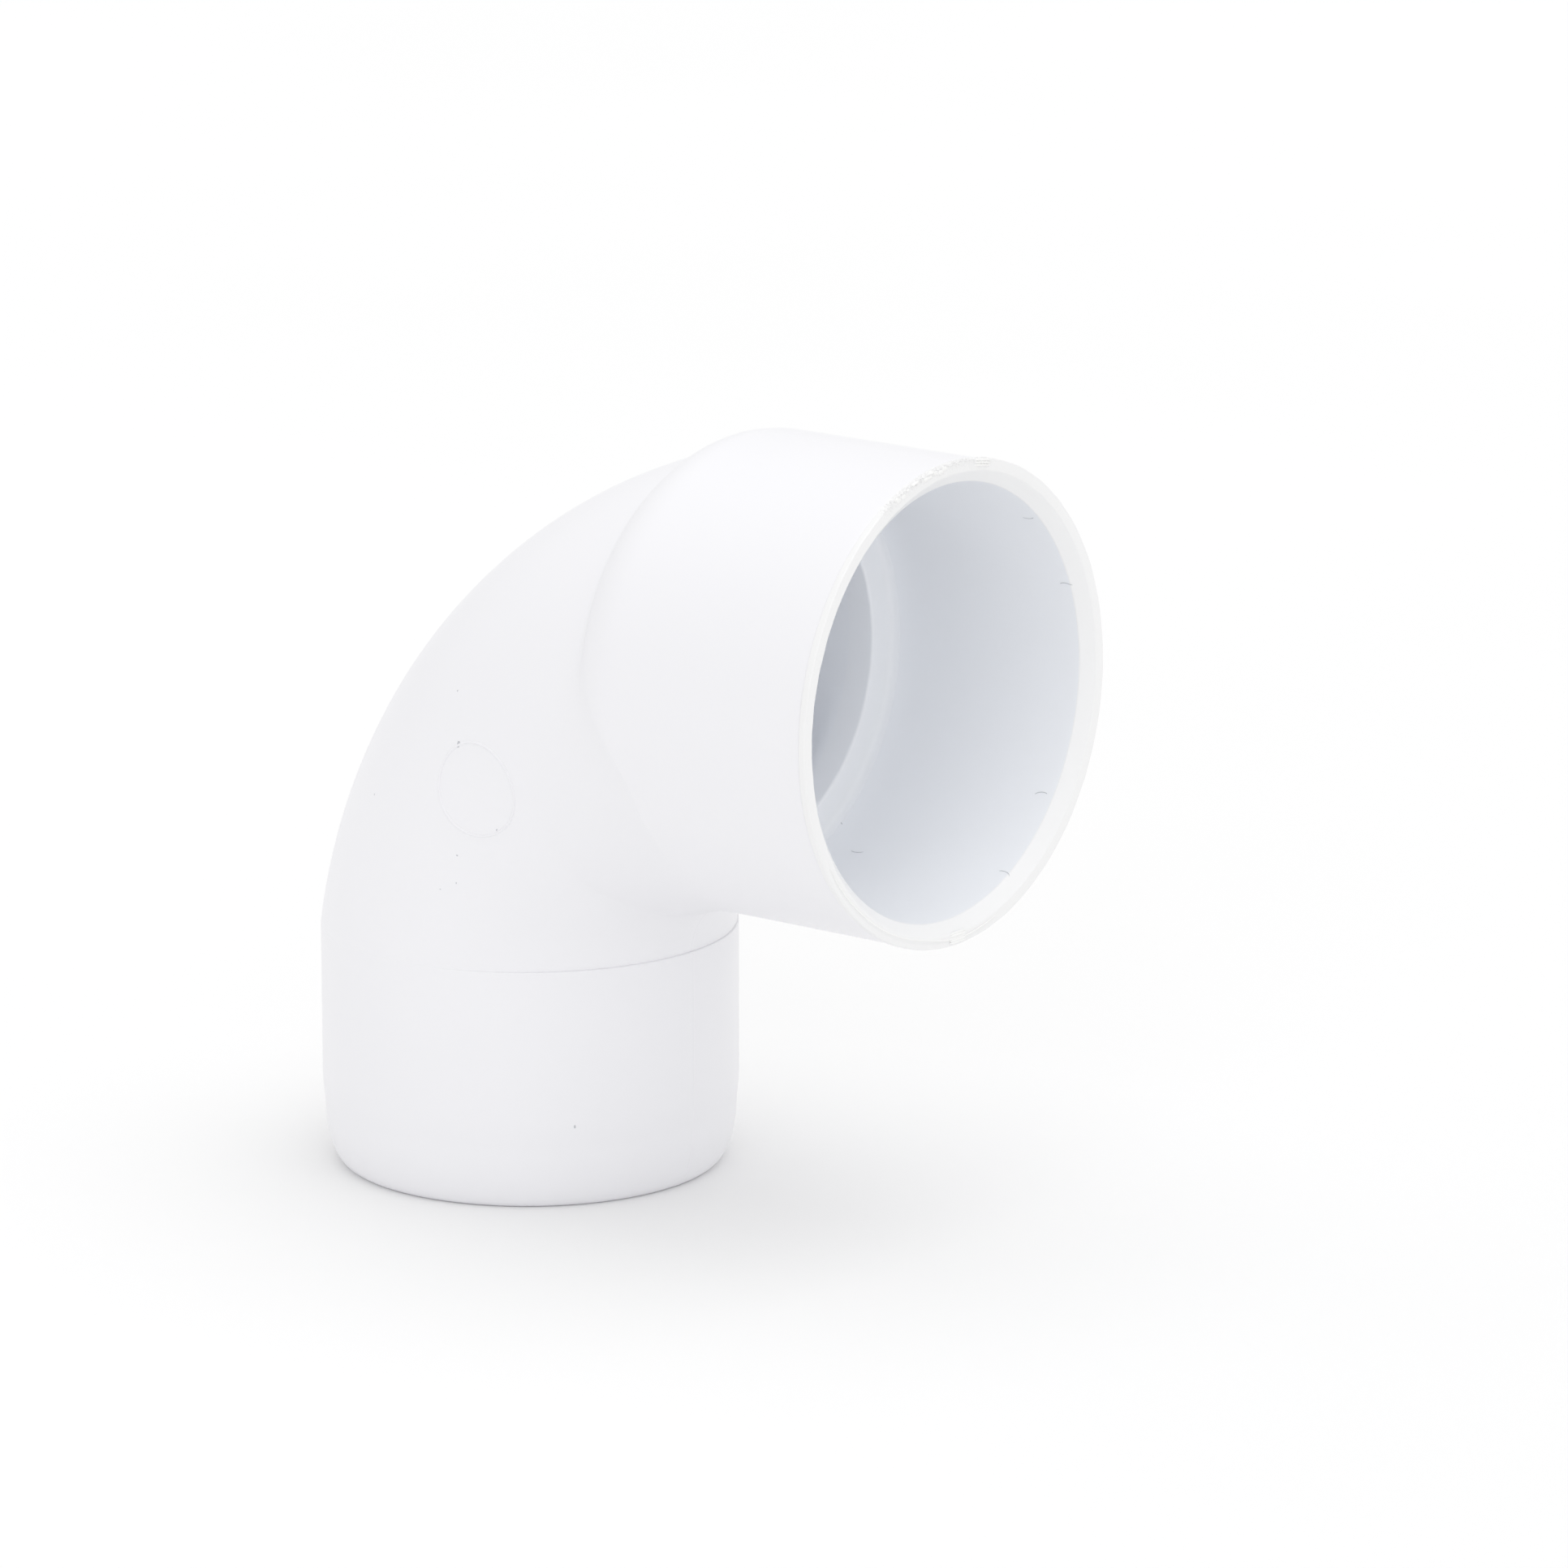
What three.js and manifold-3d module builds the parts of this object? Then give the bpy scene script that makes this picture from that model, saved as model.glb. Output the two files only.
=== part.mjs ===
import * as THREE from "three";
import { mergeVertices } from "three/addons/utils/BufferGeometryUtils.js";
import Module from "manifold-3d";

// Rigid PVC-U street elbow, millimetres, +Z up.
// The plain spigot points down, the socket points along +X, and XZ is the mirror plane.
// The real fitting is one injection moulding. Its functional zones are separate solids here:
// spigot, bend, socket, pipe stop and mouth lip. They meet face to face and share no volume.

// Spigot: the plain end that goes into another fitting's socket.
const SPIGOT_R = 28.0;
const SPIGOT_LENGTH = 32.8;
const SPIGOT_END_R = 24.8;
const LEAD_IN_LENGTH = 8.4;
const LEAD_IN_TOP_R = 27.7;
const LEAD_IN_TAPER_LENGTH = 12.5;
const SPIGOT_BORE_R = 23.4;
const SPIGOT_BORE_END_R = 23.5;

// Bend: a swept tube between the spigot shoulder plane and the socket.
const BEND_HALF_WIDTH = 27.85;
const BEND_BORE_R = 23.4;
const HEEL_R = 86.0;
const HEEL_CENTRE_X = 56.9;
const HEEL_CENTRE_Z = 18.6;
const THROAT_REACH_START = 12.15;
const THROAT_REACH_END = 8.6;
const PIVOT_X = 40.0;
const BORE_FLATTENING = 3.0;

// Socket: the enlarged female end, with a domed shoulder over the bend.
const AXIS_Z = 72.7;
const MOUTH_X = 71.3;
const SOCKET_R = 31.7;
const SHOULDER_X = 39.3;
const SHOULDER_ARC_R = 9.6;
const SOCKET_BORE_MOUTH_R = 28.7;
const SOCKET_BORE_ROOT_R = 27.8;
const SOCKET_DEPTH = 31.7;
const SOCKET_EDGE_ROUND = 0.35;

// Pipe stop: the ring the entering pipe butts against.
const STOP_BORE_R = 23.7;
const STOP_THICKNESS = 4.0;
const CUT_PAST = 2.0;

// Mouth lip: the thin ring that ends the socket. The entry chamfer runs through it into the socket.
const LIP_R = 31.9;
const LIP_WIDTH = 1.0;
const LIP_EDGE_ROUND = 0.2;
const CHAMFER_OUTER_R = 30.35;
const CHAMFER_DEPTH = 1.55;

// Facets.
const AROUND = 64;
const ALONG = 16;
const ARC_STEPS = 6;

const wasm = await Module();
wasm.setup();

// A closed mesh geometry with shared vertices and no collapsed triangles.
function weld(source) {
  const bare = source.index ? source.toNonIndexed() : source.clone();
  bare.deleteAttribute("normal");
  bare.deleteAttribute("uv");
  const merged = mergeVertices(bare, 1e-4);
  const kept = [];
  const index = merged.index.array;
  for (let i = 0; i < index.length; i += 3) {
    const a = index[i];
    const b = index[i + 1];
    const c = index[i + 2];
    if (a !== b && b !== c && c !== a) {
      kept.push(a, b, c);
    }
  }
  merged.setIndex(kept);
  if (signedVolume(merged) < 0) {
    for (let i = 0; i < kept.length; i += 3) {
      const swap = kept[i];
      kept[i] = kept[i + 1];
      kept[i + 1] = swap;
    }
    merged.setIndex(kept);
  }
  return merged;
}

function signedVolume(geometry) {
  const position = geometry.attributes.position;
  const index = geometry.index.array;
  const a = new THREE.Vector3();
  const b = new THREE.Vector3();
  const c = new THREE.Vector3();
  let total = 0;
  for (let i = 0; i < index.length; i += 3) {
    a.fromBufferAttribute(position, index[i]);
    b.fromBufferAttribute(position, index[i + 1]);
    c.fromBufferAttribute(position, index[i + 2]);
    total += a.dot(b.cross(c)) / 6;
  }
  return total;
}

function solid(geometry) {
  const welded = weld(geometry);
  const mesh = new wasm.Mesh({
    numProp: 3,
    vertProperties: new Float32Array(welded.attributes.position.array),
    triVerts: new Uint32Array(welded.index.array),
  });
  return new wasm.Manifold(mesh);
}

function toGeometry(manifold) {
  const mesh = manifold.getMesh();
  const geometry = new THREE.BufferGeometry();
  geometry.setAttribute("position", new THREE.BufferAttribute(new Float32Array(mesh.vertProperties), 3));
  geometry.setIndex(new THREE.BufferAttribute(new Uint32Array(mesh.triVerts), 1));
  geometry.computeVertexNormals();
  return geometry;
}

// Points on a quarter-ellipse from one angle to another, in (radius, height).
function arc(centreR, centreH, radiusR, radiusH, from, to, steps) {
  const points = [];
  for (let i = 0; i <= steps; i += 1) {
    const angle = from + ((to - from) * i) / steps;
    points.push(new THREE.Vector2(centreR + radiusR * Math.cos(angle), centreH + radiusH * Math.sin(angle)));
  }
  return points;
}

function latheZ(points) {
  return new THREE.LatheGeometry(points, AROUND).rotateX(Math.PI / 2);
}

// A profile in (radius, distance along +X), turned about the socket axis.
function latheX(points) {
  return new THREE.LatheGeometry(points, AROUND).rotateZ(-Math.PI / 2).translate(0, 0, AXIS_Z);
}

// Distances from the pivot line to the bend's outside: a circular heel and a vertical-starting throat.
function heelReach(angle) {
  const dx = PIVOT_X - HEEL_CENTRE_X;
  const dz = SPIGOT_LENGTH - HEEL_CENTRE_Z;
  const along = -dx * Math.cos(angle) + dz * Math.sin(angle);
  return -along + Math.sqrt(along * along + HEEL_R * HEEL_R - dx * dx - dz * dz);
}

function throatReach(angle) {
  return THROAT_REACH_START + (THROAT_REACH_END - THROAT_REACH_START) * Math.sin(angle) ** 2;
}

// The bore's middle runs from the spigot axis to the socket axis.
function boreReach(angle) {
  const start = PIVOT_X;
  const end = AXIS_Z - SPIGOT_LENGTH;
  const share = angle / (Math.PI / 2);
  return start + (end - start) * share - BORE_FLATTENING * Math.sin(2 * angle);
}

// A capped tube whose sections lie in planes through the pivot line, from the throat to the heel.
function sweptTube(heel, throat, halfWidth) {
  const geometry = new THREE.CylinderGeometry(1, 1, 1, AROUND, ALONG);
  const position = geometry.attributes.position;
  for (let i = 0; i < position.count; i += 1) {
    const angle = (position.getY(i) + 0.5) * (Math.PI / 2);
    const middle = (heel(angle) + throat(angle)) / 2;
    const halfDepth = (heel(angle) - throat(angle)) / 2;
    const out = middle + halfDepth * position.getX(i);
    const side = halfWidth * position.getZ(i);
    position.setXYZ(i, PIVOT_X - out * Math.cos(angle), side, SPIGOT_LENGTH + out * Math.sin(angle));
  }
  return geometry;
}

// Spigot profile: rounded lead-in, slight taper, straight wall, drafted bore.
const spigotProfile = [
  new THREE.Vector2(SPIGOT_BORE_END_R, 0),
  ...arc(SPIGOT_END_R, LEAD_IN_LENGTH, LEAD_IN_TOP_R - SPIGOT_END_R, LEAD_IN_LENGTH, -Math.PI / 2, 0, ARC_STEPS),
  new THREE.Vector2(SPIGOT_R, LEAD_IN_TAPER_LENGTH),
  new THREE.Vector2(SPIGOT_R, SPIGOT_LENGTH),
  new THREE.Vector2(SPIGOT_BORE_R, SPIGOT_LENGTH),
  new THREE.Vector2(SPIGOT_BORE_END_R, 0),
];
const spigot = solid(latheZ(spigotProfile));

const boreTube = solid(sweptTube(
  (angle) => boreReach(angle) + BEND_BORE_R,
  (angle) => boreReach(angle) - BEND_BORE_R,
  BEND_BORE_R,
));
const stopX = MOUTH_X - SOCKET_DEPTH;
const bodyEndX = MOUTH_X - LIP_WIDTH;
const chamferEndX = MOUTH_X - CHAMFER_DEPTH;
const chamferSlope = (CHAMFER_OUTER_R - SOCKET_BORE_MOUTH_R) / CHAMFER_DEPTH;
const lipBackBoreR = SOCKET_BORE_MOUTH_R + chamferSlope * (bodyEndX - chamferEndX);

// Socket outside: domed shoulder, then a straight barrel with a softened edge.
const shoulderCentreR = SOCKET_R - SHOULDER_ARC_R;
const socketOutside = solid(latheX([
  new THREE.Vector2(0, SHOULDER_X - SHOULDER_ARC_R),
  ...arc(shoulderCentreR, SHOULDER_X, SHOULDER_ARC_R, SHOULDER_ARC_R, -Math.PI / 2, 0, 2 * ARC_STEPS),
  new THREE.Vector2(SOCKET_R, bodyEndX - SOCKET_EDGE_ROUND),
  new THREE.Vector2(SOCKET_R - SOCKET_EDGE_ROUND, bodyEndX),
  new THREE.Vector2(0, bodyEndX),
]));

// Everything removed for the entering pipe and for the stop ring behind it.
const socketCut = solid(latheX([
  new THREE.Vector2(0, stopX - STOP_THICKNESS),
  new THREE.Vector2(SOCKET_BORE_ROOT_R, stopX - STOP_THICKNESS),
  new THREE.Vector2(SOCKET_BORE_ROOT_R, stopX),
  new THREE.Vector2(SOCKET_BORE_MOUTH_R, chamferEndX),
  new THREE.Vector2(lipBackBoreR, bodyEndX),
  new THREE.Vector2(lipBackBoreR, bodyEndX + CUT_PAST),
  new THREE.Vector2(0, bodyEndX + CUT_PAST),
]));
const stopBlank = solid(latheX([
  new THREE.Vector2(0, stopX - STOP_THICKNESS),
  new THREE.Vector2(SOCKET_BORE_ROOT_R, stopX - STOP_THICKNESS),
  new THREE.Vector2(SOCKET_BORE_ROOT_R, stopX),
  new THREE.Vector2(0, stopX),
]));
const stopBore = solid(latheX([
  new THREE.Vector2(0, stopX - STOP_THICKNESS - CUT_PAST),
  new THREE.Vector2(STOP_BORE_R, stopX - STOP_THICKNESS - CUT_PAST),
  new THREE.Vector2(STOP_BORE_R, stopX + CUT_PAST),
  new THREE.Vector2(0, stopX + CUT_PAST),
]));

const lip = solid(latheX([
  new THREE.Vector2(lipBackBoreR, bodyEndX),
  new THREE.Vector2(LIP_R, bodyEndX),
  new THREE.Vector2(LIP_R, MOUTH_X - LIP_EDGE_ROUND),
  new THREE.Vector2(LIP_R - LIP_EDGE_ROUND, MOUTH_X),
  new THREE.Vector2(CHAMFER_OUTER_R, MOUTH_X),
  new THREE.Vector2(lipBackBoreR, bodyEndX),
]));

const bendTube = solid(sweptTube(heelReach, throatReach, BEND_HALF_WIDTH));
const bend = bendTube.subtract(boreTube).subtract(socketOutside);
const socket = socketOutside.subtract(socketCut).subtract(boreTube).subtract(stopBore);
const stop = stopBlank.subtract(stopBore).subtract(boreTube);

function part(name, manifold, colour, roughness) {
  const material = new THREE.MeshStandardMaterial({ color: colour, roughness, metalness: 0 });
  const mesh = new THREE.Mesh(toGeometry(manifold), material);
  mesh.name = name;
  return mesh;
}

const group = new THREE.Group();
group.name = "pvc_elbow";
group.add(part("spigot", spigot, 0xf1f1f3, 0.3));
group.add(part("bend", bend, 0xf0f0f3, 0.28));
group.add(part("socket", socket, 0xf2f2f4, 0.28));
group.add(part("pipe_stop", stop, 0xeeeeec, 0.35));
group.add(part("mouth_lip", lip, 0xf4f2ec, 0.4));

// The origin is under the middle of the fitting, on the plane it stands on.
const box = new THREE.Box3().setFromObject(group);
const centre = box.getCenter(new THREE.Vector3());
for (const mesh of group.children) {
  mesh.geometry.translate(-centre.x, 0, 0);
}

export default group;
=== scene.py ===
"""Visual model of a white PVC-U street elbow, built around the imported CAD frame.

Lengths are millimetres until a mesh is made. The spigot stands on the floor along Z,
the socket opens towards +X, and XZ is the mirror plane.
"""

import math

import bpy
import numpy as np
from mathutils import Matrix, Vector


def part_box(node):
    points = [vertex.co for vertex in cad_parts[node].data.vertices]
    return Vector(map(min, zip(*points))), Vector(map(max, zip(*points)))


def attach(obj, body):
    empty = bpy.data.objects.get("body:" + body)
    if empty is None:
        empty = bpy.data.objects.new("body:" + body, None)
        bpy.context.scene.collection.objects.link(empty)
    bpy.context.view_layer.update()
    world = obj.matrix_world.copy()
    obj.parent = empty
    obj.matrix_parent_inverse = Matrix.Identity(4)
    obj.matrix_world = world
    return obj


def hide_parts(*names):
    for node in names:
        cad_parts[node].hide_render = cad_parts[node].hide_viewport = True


MM = 0.001
BODY = "root"
QUARTER_TURN = math.pi / 2
FULL_TURN = 2 * math.pi

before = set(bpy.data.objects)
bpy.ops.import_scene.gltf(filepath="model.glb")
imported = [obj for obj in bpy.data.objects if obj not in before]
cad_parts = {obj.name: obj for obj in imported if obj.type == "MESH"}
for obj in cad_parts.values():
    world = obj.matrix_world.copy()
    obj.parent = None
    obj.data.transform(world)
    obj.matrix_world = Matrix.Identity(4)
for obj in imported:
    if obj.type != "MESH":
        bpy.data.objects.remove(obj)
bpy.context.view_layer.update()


def box_mm(node):
    low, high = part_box(node)
    return np.array(low) / MM, np.array(high) / MM


spigot_low, spigot_high = box_mm("spigot")
bend_high = box_mm("bend")[1]
socket_low, socket_high = box_mm("socket")
stop_low, stop_high = box_mm("pipe_stop")
lip_high = box_mm("mouth_lip")[1]

# Sizes that the frame gives.
SPIGOT_X = (spigot_low[0] + spigot_high[0]) / 2
SPIGOT_R = spigot_high[1]
LINE_Z = spigot_high[2]
BEND_HALF_WIDTH = bend_high[1]
AXIS_Z = (socket_low[2] + socket_high[2]) / 2
SOCKET_R = socket_high[1]
BODY_END_X = socket_high[0]
STOP_X = stop_high[0]
STOP_BACK_X = stop_low[0]
SOCKET_ROOT_R = stop_high[1]
LIP_R = lip_high[1]
MOUTH_X = lip_high[0]

# Spigot profile, as in the CAD.
SPIGOT_END_R = 24.8
LEAD_IN_LENGTH = 8.4
LEAD_IN_TOP_R = 27.7
TAPER_LENGTH = 12.5
SPIGOT_BORE_R = 23.4
SPIGOT_BORE_END_R = 23.5
SPIGOT_END_ROUND = 0.5

# Bend, as in the CAD: sections in planes through a pivot line parallel to Y.
PIVOT_X = SPIGOT_X + 40.0
HEEL_R = 86.0
HEEL_CENTRE_X = SPIGOT_X + 56.9
HEEL_CENTRE_Z = 18.6
THROAT_REACH_START = 12.15
THROAT_REACH_END = 8.6
BEND_BORE_R = 23.4
BORE_FLATTENING = 3.0

# Near the pipe stop the bend's bore turns into the stop's round hole.
BORE_BLEND_FROM = 0.6
HOLE_LEAD = 1.0

# The bend starts a little inside the spigot's wall, most of all on the throat side. FROM and FULL
# are shares from the heel to the throat, and the ledge has blended out at the bend angle LEDGE_BLEND.
FLUSH_INSET = 0.015
LEDGE_WIDTH = 0.22
LEDGE_FROM = 0.56
LEDGE_FULL = 0.9
LEDGE_BLEND = 0.5
LEDGE_ROUND_SHARE = 0.6

# Socket, stop and lip, as in the CAD but for the small roundings.
SHOULDER_X = SPIGOT_X + 39.3
SHOULDER_ARC_R = 9.6
SHOULDER_CENTRE_R = SOCKET_R - SHOULDER_ARC_R
SOCKET_EDGE_ROUND = 0.35
SOCKET_MOUTH_R = 28.7
STOP_BORE_R = 23.7
STOP_EDGE_ROUND = 0.5
STOP_FILLET = 1.3
STOP_SINK = 0.05
LIP_EDGE_ROUND = 0.2
LIP_FOOT_ROUND = 0.15
CHAMFER_OUTER_R = 30.35
CHAMFER_DEPTH = 1.55
CHAMFER_OUTER_ROUND = 0.12
CHAMFER_INNER_ROUND = 0.2
CHAMFER_END_X = MOUTH_X - CHAMFER_DEPTH
CHAMFER_SLOPE = (CHAMFER_OUTER_R - SOCKET_MOUTH_R) / CHAMFER_DEPTH
LIP_BACK_BORE_R = SOCKET_MOUTH_R + CHAMFER_SLOPE * (BODY_END_X - CHAMFER_END_X)

# The crease between bend and shoulder is crisp at the heel and soft at the sides and the throat.
# The CREASE_AT lengths say how far its fillet reaches. The FROM and TO values are shares from 0 at
# the heel to 1 at the throat, and CREASE_LEAVES is the share of the bend that no fillet takes.
CREASE_AT_HEEL = 0.8
CREASE_AT_SIDE = 10.0
CREASE_AT_THROAT = 6.0
CREASE_SOFT_FROM = 0.3
CREASE_SOFT_TO = 0.62
CREASE_THROAT_FROM = 0.75
CREASE_LEAVES = 0.25

# The dome's rows end this far past the fillet and the barrel's start.
DOME_RUN_ON = 0.5

# Where the crease is soft, its curvature is evened out as well.
SMOOTH_PASSES = 160
SMOOTH_STRENGTH = 0.5
SMOOTH_FULL_REACH = 7.2
SMOOTH_REACH = 18.0

# Columns and rows of the meshes.
COLUMNS = 320
LEAD_IN_STEPS = 16
TAPER_STEPS = 6
SPIGOT_WALL_ROWS = 23
SPIGOT_BORE_ROWS = 11
BEND_ROWS = 110
CREASE_ROWS = 30
DOME_ROWS = 22
BARREL_ROWS = 24
SOCKET_BORE_ROWS = 19
BEND_BORE_ROWS = 46
ROUND_STEPS = 5
STOP_FILLET_STEPS = 8
BISECTIONS = 40
SHARP_ANGLE = math.radians(38)
SMALL_ANGLE = 1e-4
SMALL_LENGTH = 0.01
TINY = 1e-9

# The mould's parting line, a fine bead in the mirror plane. Columns stand closer together beside it.
PARTING_HALF_WIDTH = 0.11
PARTING_HEIGHT = 0.035
PARTING_OFFSETS = (0.04, 0.08, 0.12, 0.16, 0.22, 0.3, 0.45)
INSIDE_SPIGOT = np.array([SPIGOT_X, 0.0, LINE_Z / 2])
INSIDE_BEND = np.array([SPIGOT_X + 20.0, 0.0, AXIS_Z])


# Meshes.
def make_mesh(name, points, faces, material, replaced=()):
    mesh = bpy.data.meshes.new(name)
    mesh.from_pydata((np.asarray(points) * MM).tolist(), [], faces)
    mesh.validate()
    mesh.polygons.foreach_set("use_smooth", [True] * len(mesh.polygons))
    mesh.set_sharp_from_angle(angle=SHARP_ANGLE)
    mesh.materials.append(material)
    piece = bpy.data.objects.new(name, mesh)
    bpy.context.scene.collection.objects.link(piece)
    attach(piece, BODY)
    if replaced:
        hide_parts(*replaced)
    return piece


def ring_faces(rows, columns, closed_rows=True):
    """Quads of a grid that closes around its columns and, unless told otherwise, around its rows."""
    faces = []
    last = rows if closed_rows else rows - 1
    for row in range(last):
        after = (row + 1) % rows
        for column in range(columns):
            beside = (column + 1) % columns
            faces.append((
                row * columns + column,
                after * columns + column,
                after * columns + beside,
                row * columns + beside,
            ))
    return faces


def signed_volume(points, faces):
    """Six times the volume inside, negative when the faces look inwards."""
    quads = points[np.array(faces)]
    first = np.einsum("ij,ij->i", quads[:, 0], np.cross(quads[:, 1], quads[:, 2]))
    second = np.einsum("ij,ij->i", quads[:, 0], np.cross(quads[:, 2], quads[:, 3]))
    return (first + second).sum()


def outward(points, faces):
    if signed_volume(points, faces) < 0:
        return [tuple(reversed(face)) for face in faces]
    return faces


def grid_piece(name, grid, material, replaced=()):
    """A piece from rows by columns of points, closed both ways."""
    rows, columns = grid.shape[:2]
    points = grid.reshape(-1, 3)
    faces = outward(points, ring_faces(rows, columns))
    return make_mesh(name, points, faces, material, replaced)


def joined(name, shells, material):
    """One piece from several closed shells."""
    points = []
    faces = []
    start = 0
    for shell_points, shell_faces in shells:
        points.append(shell_points)
        faces += [tuple(index + start for index in face) for face in shell_faces]
        start += len(shell_points)
    return make_mesh(name, np.concatenate(points), faces, material)


# Curves.
def unit(vector):
    return vector / np.linalg.norm(vector)


def steps_to(start, end, count):
    """Evenly spaced values after start, the last of them end."""
    return np.linspace(start, end, count + 1)[1:]


def ease(value, start, end):
    """0 before start, 1 after end, and smooth between them."""
    share = np.clip((value - start) / (end - start), 0, 1)
    return share * share * (3 - 2 * share)


def curve_point(start, corner, end, share):
    """A point of the curve that leaves start towards corner and arrives at end from it."""
    return (1 - share) ** 2 * start + 2 * share * (1 - share) * corner + share ** 2 * end


def rounded(corner, before, after, radius, steps=ROUND_STEPS):
    """A corner of a profile softened between two points a radius away from it."""
    corner = np.array(corner, float)
    start = corner + radius * unit(np.array(before, float) - corner)
    end = corner + radius * unit(np.array(after, float) - corner)
    share = np.linspace(0, 1, steps + 1)[:, None]
    return [tuple(point) for point in curve_point(start, corner, end, share)]


def bisect(low, high, is_before):
    """The values between low and high where is_before turns from true to false."""
    low = np.array(low, float)
    high = np.array(high, float)
    for _ in range(BISECTIONS):
        middle = (low + high) / 2
        before = is_before(middle)
        low = np.where(before, middle, low)
        high = np.where(before, high, middle)
    return (low + high) / 2


def round_columns():
    """Angles around an axis, closer together beside the mirror plane for the parting line."""
    angles = set(np.round(np.arange(COLUMNS) * FULL_TURN / COLUMNS, 9))
    for plane in (0.0, math.pi):
        for offset in PARTING_OFFSETS:
            for side in (-1, 1):
                angles.add(round((plane + side * offset / SPIGOT_R) % FULL_TURN, 9))
    return np.array(sorted(angles))


# Angles around the tube, from the heel through +Y to the throat and back.
AROUND = round_columns()


def throat_side(around):
    """0 at the heel and 1 at the throat."""
    return (1 - np.cos(around)) / 2


def about_spigot(radius, height, around):
    """Points about the spigot's axis, with angles from the heel and positive towards +Y."""
    x = SPIGOT_X - radius * np.cos(around)
    return np.stack([x, radius * np.sin(around), height + 0 * around], -1)


def about_socket(x, radius, turn):
    """Points about the socket's axis, with turns from the top and positive towards +Y."""
    return np.stack([x + 0 * turn, radius * np.sin(turn), AXIS_Z + radius * np.cos(turn)], -1)


# Surfaces of the bend. Its angle runs from 0 at the spigot to a quarter turn at the socket.
def heel_reach(angle):
    dx = PIVOT_X - HEEL_CENTRE_X
    dz = LINE_Z - HEEL_CENTRE_Z
    along = -dx * np.cos(angle) + dz * np.sin(angle)
    return -along + np.sqrt(along ** 2 + HEEL_R ** 2 - dx ** 2 - dz ** 2)


def throat_reach(angle):
    return THROAT_REACH_START + (THROAT_REACH_END - THROAT_REACH_START) * np.sin(angle) ** 2


def bore_reach(angle):
    start = PIVOT_X - SPIGOT_X
    end = AXIS_Z - LINE_Z
    return start + (end - start) * angle / QUARTER_TURN - BORE_FLATTENING * np.sin(2 * angle)


def section_point(angle, around, heel, throat, half_width):
    """A point of an oval section that reaches from throat to heel, both counted from the pivot."""
    out = (heel + throat) / 2 + (heel - throat) / 2 * np.cos(around)
    side = half_width * np.sin(around)
    return np.stack([PIVOT_X - out * np.cos(angle), side + 0 * out, LINE_Z + out * np.sin(angle)], -1)


def bend_point(angle, around):
    return section_point(angle, around, heel_reach(angle), throat_reach(angle), BEND_HALF_WIDTH)


def bore_point(angle, around):
    reach = bore_reach(angle)
    return section_point(angle, around, reach + BEND_BORE_R, reach - BEND_BORE_R, BEND_BORE_R)


def ledge_width(around):
    """How far inside the spigot's wall the bend starts: a ledge that is almost flush at the heel."""
    return FLUSH_INSET + LEDGE_WIDTH * ease(throat_side(around), LEDGE_FROM, LEDGE_FULL)


def skin_point(angle, around):
    """The bend's outside, which leaves the ledge as a circle and soon takes the bend's own section."""
    ring = about_spigot(SPIGOT_R - ledge_width(around), LINE_Z, around)
    start = bend_point(np.zeros_like(around), around)
    fade = 1 - ease(angle, 0.0, LEDGE_BLEND)
    return bend_point(angle, around) + (ring - start) * fade[..., None]


def bend_side(x, z):
    """The Y of the bend's -Y side, beside a point of the mirror plane."""
    angle = np.arctan2(z - LINE_Z, PIVOT_X - x)
    out = np.hypot(z - LINE_Z, PIVOT_X - x)
    middle = (heel_reach(angle) + throat_reach(angle)) / 2
    half = (heel_reach(angle) - throat_reach(angle)) / 2
    return -BEND_HALF_WIDTH * np.sqrt(1 - ((out - middle) / half) ** 2)


def bend_side_frame(x, z):
    """Outward normal of the bend's -Y side, and its tangents along X and Z."""
    slope_x = (bend_side(x + SMALL_LENGTH, z) - bend_side(x - SMALL_LENGTH, z)) / (2 * SMALL_LENGTH)
    slope_z = (bend_side(x, z + SMALL_LENGTH) - bend_side(x, z - SMALL_LENGTH)) / (2 * SMALL_LENGTH)
    one = np.ones_like(slope_x)
    zero = np.zeros_like(slope_x)
    normal = np.stack([slope_x, -one, slope_z], -1)
    normal = normal / np.linalg.norm(normal, axis=-1, keepdims=True)
    return normal, np.stack([one, slope_x, zero], -1), np.stack([zero, slope_z, one], -1)


# Surfaces of the socket.
def outside_socket(points):
    """Distance from the socket's outer surface, negative inside it."""
    radius = np.hypot(points[..., 1], points[..., 2] - AXIS_Z)
    behind = np.minimum(points[..., 0] - SHOULDER_X, 0)
    beyond = np.maximum(radius - SHOULDER_CENTRE_R, 0)
    return np.hypot(behind, beyond) - SHOULDER_ARC_R


def meridian_point(turn, travel):
    """Points of the socket's outside. Travel counts from the barrel's start, negative on the dome."""
    theta = np.clip(-travel / SHOULDER_ARC_R, 0, QUARTER_TURN)
    x = SHOULDER_X + np.where(travel < 0, -SHOULDER_ARC_R * np.sin(theta), travel)
    return about_socket(x, SHOULDER_CENTRE_R + SHOULDER_ARC_R * np.cos(theta), turn)


def turned(profile, turns):
    """Rows of points from a profile in (x, radius) about the socket's axis."""
    return [about_socket(x, radius, turns) for x, radius in profile]


def wall_radius(x):
    """The socket's inner radius at x, with the chamfer at its mouth."""
    share = np.clip((x - STOP_X) / (CHAMFER_END_X - STOP_X), 0, 1)
    tapered = SOCKET_ROOT_R + (SOCKET_MOUTH_R - SOCKET_ROOT_R) * share
    return tapered + CHAMFER_SLOPE * np.maximum(x - CHAMFER_END_X, 0)


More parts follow.
